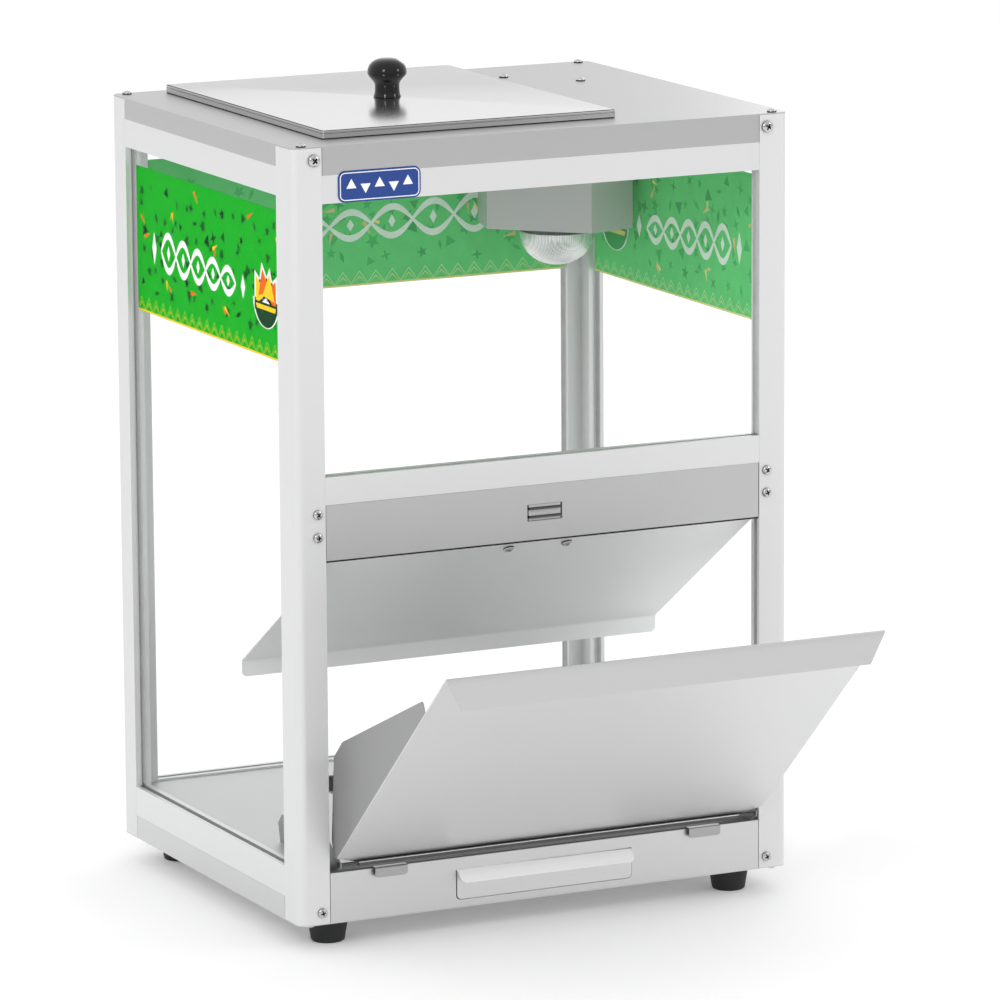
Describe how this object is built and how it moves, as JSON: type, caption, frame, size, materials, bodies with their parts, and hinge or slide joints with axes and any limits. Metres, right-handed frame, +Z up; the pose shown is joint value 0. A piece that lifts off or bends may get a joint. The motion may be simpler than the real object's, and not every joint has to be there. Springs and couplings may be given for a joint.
{
  "type": "heated snack display cabinet",
  "caption": "Countertop warming cabinet for tortilla chips with glass walls, aluminium posts, tilt-out serving door, lift-off lid, lamp and crumb drawer.",
  "frame": {"origin": "on the floor under the middle of the whole outline, with the door open as it stands at rest", "axes": "+Z up, -Y towards the front with the serving door, +X to the right seen from the front"},
  "size_m": [0.45, 0.5946, 0.7015],
  "materials": {
    "aluminium_profile": "satin anodised",
    "clear_glass": "clear",
    "stainless_sheet": "fine satin",
    "bright_steel": "zinc plated",
    "black_rubber": "matt",
    "black_plastic": "gloss",
    "dark_ferrite": "matt",
    "white_porcelain": "glazed",
    "brass_cap": "bright",
    "printed_film": "printed translucent film",
    "blue_enamel": "gloss"
  },
  "bodies": {
    "cabinet": {"post_front_left": "aluminium_profile", "post_front_right": "aluminium_profile", "post_rear_left": "aluminium_profile", "post_rear_right": "aluminium_profile", "rail_mid_front": "aluminium_profile", "rail_top_front": "aluminium_profile", "rail_top_rear": "aluminium_profile", "rail_top_left": "aluminium_profile", "rail_top_right": "aluminium_profile", "rail_bottom_rear": "aluminium_profile", "rail_bottom_left": "aluminium_profile", "rail_bottom_right": "aluminium_profile", "glass_front": "clear_glass", "glass_rear": "clear_glass", "glass_left": "clear_glass", "glass_right": "clear_glass", "lamp_bulb": "clear_glass", "top_cover": "stainless_sheet", "base_pan": "stainless_sheet", "front_panel": "stainless_sheet", "deck_plate": "stainless_sheet", "deck_supports": "stainless_sheet", "hinge_bracket_left": "stainless_sheet", "hinge_bracket_right": "stainless_sheet", "front_band": "stainless_sheet", "baffle": "stainless_sheet", "drawer_runners": "stainless_sheet", "lamp_shield": "stainless_sheet", "hinge_rod": "bright_steel", "bracket_rivets": "bright_steel", "catch_screws": "bright_steel", "catch_plates": "bright_steel", "post_screws": "bright_steel", "cover_screws": "bright_steel", "pan_screws": "bright_steel", "foot_front_left": "black_rubber", "foot_front_right": "black_rubber", "foot_rear_left": "black_rubber", "foot_rear_right": "black_rubber", "glazing_seals": "black_rubber", "catch_body": "black_plastic", "switch_bezel": "black_plastic", "power_inlet": "black_plastic", "catch_magnet": "dark_ferrite", "lamp_socket": "white_porcelain", "lamp_cap": "brass_cap", "banner_left": "printed_film", "banner_right": "printed_film", "banner_rear": "printed_film", "name_plate": "blue_enamel"},
    "door": {"door_panel": "stainless_sheet", "door_cheek_left": "stainless_sheet", "door_cheek_right": "stainless_sheet"},
    "drawer": {"drawer_tray": "stainless_sheet", "drawer_front": "stainless_sheet"},
    "lid": {"lid_pan": "stainless_sheet", "lid_knob": "black_plastic", "lid_screw": "bright_steel"},
    "rocker": {"switch_rocker": "black_plastic"}
  },
  "joints": [
    {"name": "door_tilt", "type": "hinge", "parent": "cabinet", "child": "door", "pos_m": [0, -0.08277, 0.072], "axis": [1, 0, 0], "range_deg": [-47.6, 0]},
    {"name": "drawer_slide", "type": "slide", "parent": "cabinet", "child": "drawer", "axis": [0, -1, 0], "range_m": [0, 0.24]},
    {"name": "lid_lift", "type": "slide", "parent": "cabinet", "child": "lid", "axis": [0, 0, 1], "range_m": [0, 0.12]},
    {"name": "rocker_tilt", "type": "hinge", "parent": "cabinet", "child": "rocker", "pos_m": [0.12, 0.29173, 0.6386], "axis": [0, 0, 1], "range_deg": [-16, 0]}
  ]
}
